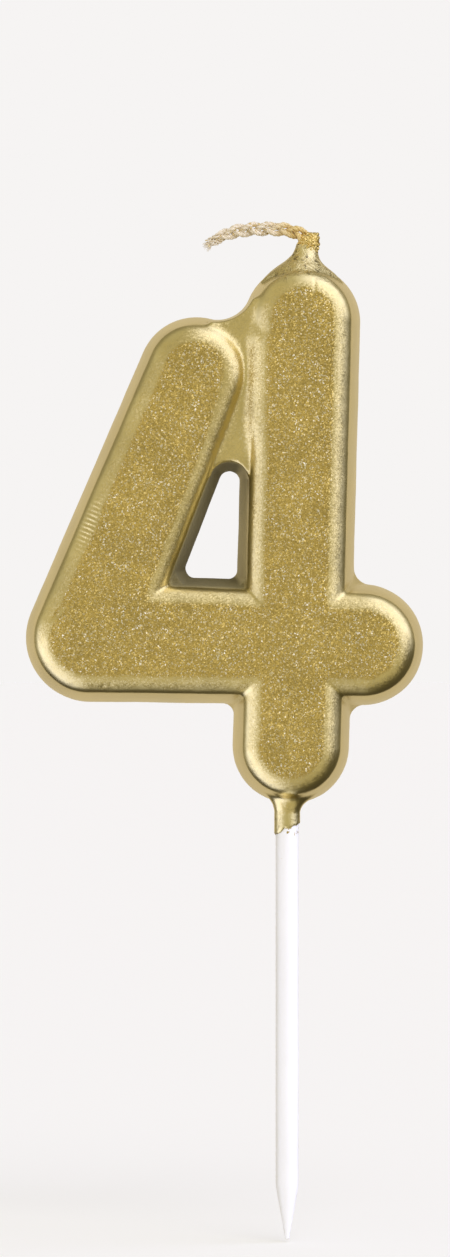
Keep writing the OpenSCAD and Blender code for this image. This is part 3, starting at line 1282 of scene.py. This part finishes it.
@dataclass
class Thread:
    """One round thread: the points of its centre line, and its radius at each.

    Attributes:
        centres: Points of the centre line.
        radii: The radius at each point.
        seed: A number that sets this thread apart in the material.
    """

    centres: list[Vector]
    radii: list[float]
    seed: float = 0.0


def thread_mesh(name: str, threads: Sequence[Thread], sides: int) -> bpy.types.Object:
    """Builds closed tubes along threads, as one object.

    Args:
        name: The object's name.
        threads: The threads.
        sides: Sides of each tube.

    Returns:
        The object, with the painted values "along" in metres, "around" from 0 to 1, and "thread".
    """
    points: list[Vector] = []
    faces: list[list[int]] = []
    along: list[float] = []
    around: list[float] = []
    seeds: list[float] = []
    for thread in threads:
        base, run = len(points), 0.0
        up = BACK
        for i, centre in enumerate(thread.centres):
            ahead = thread.centres[min(i + 1, len(thread.centres) - 1)]
            behind = thread.centres[max(i - 1, 0)]
            way = (ahead - behind).normalized()
            up = (up - way * up.dot(way)).normalized()
            side = way.cross(up)
            if i:
                run += (centre - thread.centres[i - 1]).length
            for k in range(sides):
                a = math.tau * k / sides
                points.append(centre + (side * math.cos(a) + up * math.sin(a)) * thread.radii[i])
                along.append(run)
                around.append(abs(2 * k / sides - 1))
                seeds.append(thread.seed)
        rings = len(thread.centres)
        for i in range(rings - 1):
            for k in range(sides):
                n = (k + 1) % sides
                here, there = base + i * sides, base + (i + 1) * sides
                faces.append([here + k, here + n, there + n, there + k])
        faces.append([base + k for k in reversed(range(sides))])
        faces.append([base + (rings - 1) * sides + k for k in range(sides)])
    mesh = bpy.data.meshes.new(name)
    mesh.from_pydata(points, [], faces)
    mesh.update()
    obj = bpy.data.objects.new(name, mesh)
    bpy.context.collection.objects.link(obj)
    for label, values in (("along", along), ("around", around), ("thread", seeds)):
        layer = mesh.attributes.new(label, "FLOAT", "POINT")
        layer.data.foreach_set("value", values)
    return smooth_shaded(obj, 70)


@dataclass
class Wick:
    """The braided cotton wick, from inside the stem over the fold to its frayed tip.

    Attributes:
        route: Points of its centre line, as x, y and z in millimetres.
        swing: Sideways swing of a strand in the braid.
        rise: Front to back swing of a strand.
        pitch: Length of one turn of the braid.
        ply_r: Radius of one ply; three plies are laid up into a strand.
        ply_out: Distance of a ply's centre from its strand's.
        ply_pitch: Length of one turn of the plies.
        sides: Sides of a ply.
        free_from: Height above which the wick is out of the wax.
        hair_count: Number of loose fibres.
        brush_count: How many of them are at the tip.
        brush_back: How far back from the tip they start.
        flake_count: Number of gilt flakes.
        flake_r: Radius of a flake.
        flake_t: Thickness of a flake.
        turn_start: Not used; a point where the wick would start to turn on a hinge.
        turn_end: Not used; a point where it would follow its free end fully.
    """

    route: tuple[tuple[float, float, float], ...] = (
        (0.95, 0, 24), (1.24, 0, 34), (1.52, 0, 44), (1.81, 0, 54), (2.05, 0, 62.5), (2.15, 0, 65.0),
        (2.05, 0, 65.9), (1.6, -0.02, 66.45), (0.8, -0.06, 66.8), (-0.5, -0.1, 67.05), (-2.0, -0.2, 67.14),
        (-4.1, -0.3, 67.05), (-6.0, -0.4, 66.75), (-7.2, -0.5, 66.3), (-8.1, -0.55, 65.8),
        (-8.75, -0.6, 65.25))
    swing: float = 0.52 * MM
    rise: float = 0.28 * MM
    pitch: float = 5.2 * MM
    ply_r: float = 0.18 * MM
    ply_out: float = 0.14 * MM
    ply_pitch: float = 1.5 * MM
    sides: int = 8
    free_from: float = 64.0 * MM
    hair_count: int = 64
    brush_count: int = 30
    brush_back: float = 0.6 * MM
    flake_count: int = 300
    flake_r: float = 0.085 * MM
    flake_t: float = 0.016 * MM
    turn_start: tuple[float, float, float] = (0.0019, 0, 0.0664)
    turn_end: tuple[float, float, float] = (-0.0004, 0, 0.0671)

    def centre_line(self) -> list[tuple[Vector, Vector, float]]:
        """Samples the route, close together where the wick is free.

        Returns:
            The place, the way on and the run so far at each sample.
        """
        knots = [Vector(p) * MM for p in self.route]
        samples: list[Vector] = []
        for i in range(len(knots) - 1):
            a, b, c = knots[max(i - 1, 0)], knots[i], knots[i + 1]
            d = knots[min(i + 2, len(knots) - 1)]
            gap = 0.5 * MM if c.z < self.free_from and i < 5 else 0.09 * MM
            count = max(2, round((c - b).length / gap))
            for k in range(count):
                f = k / count
                samples.append(b + ((c - a) * f + (2 * a - 5 * b + 4 * c - d) * f ** 2
                                    + (3 * b - a - 3 * c + d) * f ** 3) / 2)
        samples.append(knots[-1])
        result, run = [], 0.0
        for i, place in enumerate(samples):
            if i:
                run += (place - samples[i - 1]).length
            way = samples[min(i + 1, len(samples) - 1)] - samples[max(i - 1, 0)]
            result.append((place, way.normalized(), run))
        return result

    def plies(self, strand: int) -> list[Thread]:
        """Lays up the three plies of one strand along the braid.

        Args:
            strand: The strand's number, from 0.

        Returns:
            The plies.
        """
        line = self.centre_line()
        whole = line[-1][2]
        threads = []
        for ply in range(3):
            centres, radii = [], []
            for place, way, run in line:
                left = whole - run
                open_end = 1 - smoothstep(0.0, 2.2 * MM, left)
                slim = 0.55 + 0.45 * smoothstep(0.0, 4.0 * MM, left)
                turn = math.tau * (run / self.pitch + strand / 3)
                side = BACK.cross(way).normalized()
                lift = noise.noise(Vector((run * 900, strand * 7.0, 1.0))) * 0.07 * MM
                swing = self.swing * slim * math.sin(turn) + lift
                centre = place + side * swing + BACK * self.rise * math.sin(2 * turn) * slim
                twist = math.tau * (run / self.ply_pitch + ply / 3 + strand * 0.2)
                out = self.ply_out * (1 + 1.3 * open_end)
                out *= 1 + 0.25 * noise.noise(Vector((run * 1400, ply * 5.0, strand * 3.0)))
                centre = centre + (side * math.cos(twist) + BACK * math.sin(twist)) * out
                radius = self.ply_r * (0.62 + 0.38 * slim) * (1 - 0.5 * open_end)
                radius *= 1 + 0.16 * noise.noise(Vector((run * 2600, ply * 9.0, strand * 4.0)))
                centres.append(centre)
                radii.append(radius)
            cut = len(centres) - round(ply * 2 + strand * 1.5)
            threads.append(Thread(centres[:cut], radii[:cut], seed=strand * 3.0 + ply))
        return threads

    def hairs(self) -> list[Thread]:
        """Gives the loose fibres: a small brush at the tip and strays along the free wick."""
        line = [sample for sample in self.centre_line()
                if sample[0].x < 1.2 * MM and sample[0].z > self.free_from]
        whole = line[-1][2]
        threads = []
        for i in range(self.hair_count):
            seed = Vector((i * 1.7, 3.1, 0.4))
            at_tip = i < self.brush_count
            back = (self.brush_back * abs(noise.noise(seed * 3)) if at_tip else
                    (whole - line[0][2]) * (i - self.brush_count) / (self.hair_count - self.brush_count))
            place, way, _ = min(line, key=lambda sample: abs(whole - sample[2] - back))
            spread = noise.noise_vector(seed * 5.3)
            side = (way * (1.1 if at_tip else 0.35) + spread * (1.0 if at_tip else 1.5)).normalized()
            long = (0.55 if at_tip else 0.38) * MM * (0.7 + abs(noise.noise(seed * 9.1)))
            root = place + spread.normalized() * (0.25 if at_tip else 0.5) * MM
            bend = noise.noise_vector(seed * 2.2) * 0.5
            centres = [root + side * long * t + bend * long * t * t for t in (0, 0.25, 0.5, 0.75, 1.0)]
            thin = (0.030 if at_tip else 0.016) * MM
            radii = [thin, thin, thin * 0.9, thin * 0.7, thin * 0.4]
            threads.append(Thread(centres, radii, seed=20.0 + i))
        return threads

    def flakes(self, gold: bpy.types.Material) -> bpy.types.Object:
        """Scatters gilt flakes over the free wick, each a copy of one small plate.

        Args:
            gold: Their material.

        Returns:
            The flakes as one piece.
        """
        deselect()
        bpy.ops.mesh.primitive_cylinder_add(vertices=5, radius=self.flake_r, depth=self.flake_t)
        plate = bpy.context.object
        line = [sample for sample in self.centre_line()
                if sample[0].x < 1.9 * MM and sample[0].z > 65.2 * MM]
        whole = line[-1][2] - line[0][2]
        copies = []
        for i in range(self.flake_count):
            seed = Vector((i * 2.37, 1.3, 7.7))
            share = ((i + 0.5) / self.flake_count) ** 1.15
            place, way, _ = min(line, key=lambda sample: abs(sample[2] - line[0][2] - share * whole))
            side = BACK.cross(way).normalized()
            turn = math.tau * (noise.noise(seed * 1.9) * 2 + i * 0.382)
            slim = 0.6 + 0.4 * smoothstep(0.0, 4.0 * MM, (1 - share) * whole)
            out = (side * math.cos(turn) * 0.70 * slim + BACK * math.sin(turn) * 0.52 * slim) * MM
            facing = (out.normalized() + noise.noise_vector(seed * 4.1) * 0.8).normalized()
            size = 0.55 + 0.9 * abs(noise.noise(seed * 6.3))
            copy = plate.copy()
            copy.data = plate.data.copy()
            bpy.context.collection.objects.link(copy)
            copy.matrix_world = (Matrix.Translation(place + out * 0.94)
                                 @ facing.to_track_quat("Z", "Y").to_matrix().to_4x4()
                                 @ Matrix.Scale(size, 4))
            copies.append(copy)
        bpy.data.objects.remove(plate)
        pick_objects(copies)
        bpy.ops.object.transform_apply(location=True, rotation=True, scale=True)
        flakes = joined("wick_flakes", copies)
        smooth_shaded(flakes, 20)
        crust_all_over(flakes, 0.0)
        dress(flakes, gold)
        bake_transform(flakes)
        return flakes

    def build(self, cotton: bpy.types.Material, gold: bpy.types.Material) -> list[bpy.types.Object]:
        """Builds the three strands, the loose fibres and the gilt flakes.

        Args:
            cotton: The wick's material.
            gold: The flakes' material.

        Returns:
            The pieces.
        """
        pieces = []
        for strand in range(3):
            piece = thread_mesh(f"braid_strand_{strand + 1}", self.plies(strand), self.sides)
            dress(piece, cotton)
            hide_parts(f"wick_strand_{strand + 1}", f"wick_tip_strand_{strand + 1}")
            pieces.append(piece)
        hairs = thread_mesh("wick_fibres", self.hairs(), 5)
        dress(hairs, cotton)
        pieces.append(hairs)
        for piece in pieces:
            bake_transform(piece)
        pieces.append(self.flakes(gold))
        return pieces


def dress(piece: bpy.types.Object, material: bpy.types.Material) -> None:
    """Gives a piece its material.

    Args:
        piece: The piece.
        material: Its material.
    """
    piece.data.materials.clear()
    piece.data.materials.append(material)


def finish_piece(piece: bpy.types.Object, material: bpy.types.Material, body: Body,
                 nodes: Sequence[str]) -> None:
    """Dresses a piece, puts it on its body and lets it stand for its CAD nodes.

    Args:
        piece: The piece.
        material: Its material.
        body: The body that it rides on.
        nodes: The CAD nodes that it stands for.
    """
    dress(piece, material)
    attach(piece, body.value)
    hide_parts(*nodes)


# ---------------------------------------------------------------- studio


@dataclass(frozen=True)
class Glow:
    """A soft light patch of the studio, placed by direction.

    Attributes:
        azimuth_deg: Its way round the view axis, up from +X.
        spread: Cosine range over which it fades sideways, from dark to full.
        polar: Range of the direction's y over which it shows: fade in from, to, fade out from, to.
        colour: Its radiance.
    """

    azimuth_deg: float
    spread: Span
    polar: tuple[float, float, float, float]
    colour: Colour


@dataclass
class Studio:
    """Camera, floor and soft studio light.

    Attributes:
        lens: Focal length in millimetres.
        sensor: Size of the sensor in millimetres.
        aim: Centre of the view, as x and z.
        plane_y: Depth of the plane whose height the view spans.
        tall: Height that the view spans there.
        backdrop: What the camera sees past the floor.
        floor_z: Height of the floor, just under the pick's point.
        floor_r: Radius of the floor.
        floor_colour: Its colour.
        floor_glow: Its own light, which brings it to the backdrop's tone.
        key_turn_deg: Turn of the key light about X, Y and Z.
        key_energy: Strength of the key light.
        key_angle_deg: Angle over which the key light spreads.
        room: Light of the room on the camera's side.
        ring: Light from all round the object.
        behind: Light from straight behind it.
        glows: The soft lights and dark patches.
    """

    lens: float = 200.0
    sensor: float = 36.0
    aim: tuple[float, float] = (-6.9 * MM, 22.8 * MM)
    plane_y: float = 3 * MM
    tall: float = 140 * MM
    backdrop: Colour = (0.922, 0.904, 0.896)
    floor_z: float = -45.3 * MM
    floor_r: float = 8.0
    floor_colour: Colour = (0.55, 0.55, 0.55)
    floor_glow: Colour = (0.40, 0.388, 0.335)
    key_turn_deg: tuple[float, float, float] = (48, 18, 0)
    key_energy: float = 0.8
    key_angle_deg: float = 35
    room: Colour = (0.60, 0.56, 0.43)
    ring: Colour = (0.30, 0.27, 0.19)
    behind: Colour = (0.70, 0.60, 0.41)
    glows: tuple[Glow, ...] = (
        Glow(40, (0.5, 0.92), (-0.92, -0.55, 0.0, 0.4), (1.7, 1.75, 2.45)),
        Glow(-145, (0.55, 0.93), (-0.92, -0.55, 0.0, 0.4), (1.6, 1.65, 2.35)),
        Glow(-42, (0.48, 0.88), (-0.65, -0.15, 0.6, 0.78), (0.09, 0.08, 0.05)),
        Glow(-95, (0.30, 0.80), (0.05, 0.30, 0.6, 0.78), (0.07, 0.06, 0.04)),
    )

    def place_camera(self) -> None:
        """Adds the camera, level and square to the figure's face."""
        deselect()
        distance = self.tall * self.lens / self.sensor
        bpy.ops.object.camera_add(location=(self.aim[0], self.plane_y - distance, self.aim[1]),
                                  rotation=(math.pi / 2, 0, 0))
        camera = bpy.context.object
        camera.name = "camera"
        camera.data.lens = self.lens
        camera.data.sensor_width = self.sensor
        camera.data.clip_end = 100.0
        bpy.context.scene.camera = camera

    def light_world(self) -> None:
        """Builds the light of the room by direction; the camera sees only the plain backdrop."""
        world = bpy.data.worlds.new("studio")
        world.use_nodes = True
        bpy.context.scene.world = world
        n = Nodes(world.node_tree)
        way = n.add("TexCoord").outputs["Generated"]
        axes = n.add("SeparateXYZ", {0: way})
        depth = axes.outputs[1]
        light = n.mix(n.ramp(depth, 0.05, 0.4), rgba(self.room), rgba(self.ring))
        light = n.mix(n.ramp(depth, 0.68, 0.86), light, rgba(self.behind))
        flat = n.maths("SQRT", n.maths("ADD", n.maths("MULTIPLY", axes.outputs[0], axes.outputs[0]),
                                       n.maths("MULTIPLY", axes.outputs[2], axes.outputs[2])))
        flat = n.maths("MAXIMUM", flat, 0.0001)
        for glow in self.glows:
            a = math.radians(glow.azimuth_deg)
            toward = n.maths("ADD", n.maths("MULTIPLY", axes.outputs[0], math.cos(a)),
                             n.maths("MULTIPLY", axes.outputs[2], math.sin(a)))
            toward = n.maths("DIVIDE", toward, flat)
            mask = n.ramp(toward, *glow.spread)
            mask = n.maths("MULTIPLY", mask, n.ramp(depth, glow.polar[0], glow.polar[1]))
            mask = n.maths("MULTIPLY", mask, n.ramp(depth, glow.polar[2], glow.polar[3], 1.0, 0.0))
            light = n.mix(mask, light, rgba(glow.colour))
        lit = n.add("Background", {0: light, 1: 1.0})
        plain = n.add("Background", {0: rgba(self.backdrop), 1: 1.0})
        seen = n.add("LightPath").outputs["Is Camera Ray"]
        both = n.add("MixShader", {0: seen, 1: lit.outputs[0], 2: plain.outputs[0]})
        n.add("OutputWorld", {"Surface": both.outputs[0]})

    def add_key(self) -> None:
        """Adds the soft key light."""
        deselect()
        bpy.ops.object.light_add(type="SUN", rotation=[math.radians(turn) for turn in self.key_turn_deg])
        key = bpy.context.object
        key.name = "key"
        key.data.energy = self.key_energy
        key.data.angle = math.radians(self.key_angle_deg)
        key.visible_glossy = False

    def lay_floor(self) -> None:
        """Lays the plain pale floor."""
        deselect()
        bpy.ops.mesh.primitive_circle_add(vertices=64, radius=self.floor_r, fill_type="NGON",
                                          location=(0, 0, self.floor_z))
        floor = bpy.context.object
        floor.name = "floor"
        material, n = new_material("pale_floor")
        shader = n.add("BsdfPrincipled", {
            "Base Color": rgba(self.floor_colour), "Roughness": 0.9, "Specular IOR Level": 0.0,
            "Emission Color": rgba(self.floor_glow), "Emission Strength": 1.0})
        n.add("OutputMaterial", {"Surface": shader.outputs[0]})
        floor.data.materials.append(material)
        floor.visible_glossy = False

    def build(self) -> None:
        """Sets up the whole studio."""
        self.place_camera()
        self.light_world()
        self.add_key()
        self.lay_floor()
        bpy.context.scene.view_settings.view_transform = "Standard"


def main() -> None:
    """Builds the studio and every piece of the candle, in order."""
    logging.basicConfig(level=logging.INFO, format="%(name)s: %(message)s")
    noise.seed_set(NOISE_SEED)
    Studio().build()
    sparkle, clouds = sparkle_group(), cloud_group()
    gold = GoldFinish("gold_lacquer").build(sparkle, clouds)
    gilt = GoldFinish("gold_crust", smooth=(0.80, 0.60, 0.18), roughness=0.22).build(sparkle, clouds)
    wax = WaxFinish("ivory_wax").build(clouds)
    cotton = CottonFinish("waxed_cotton").build(sparkle, clouds)
    plastic = PlasticFinish("white_plastic").build(clouds)
    pieces = Figure().build(gold, wax)
    pieces.append(Neck().build(gold))
    pieces.append(WickRoot().build(gilt))
    pieces.append(Pick().build(plastic))
    pieces += Wick().build(cotton, gilt)
    for piece in pieces:
        log.info("%s: %d faces", piece.name, len(piece.data.polygons))


if __name__ == "__main__":
    main()
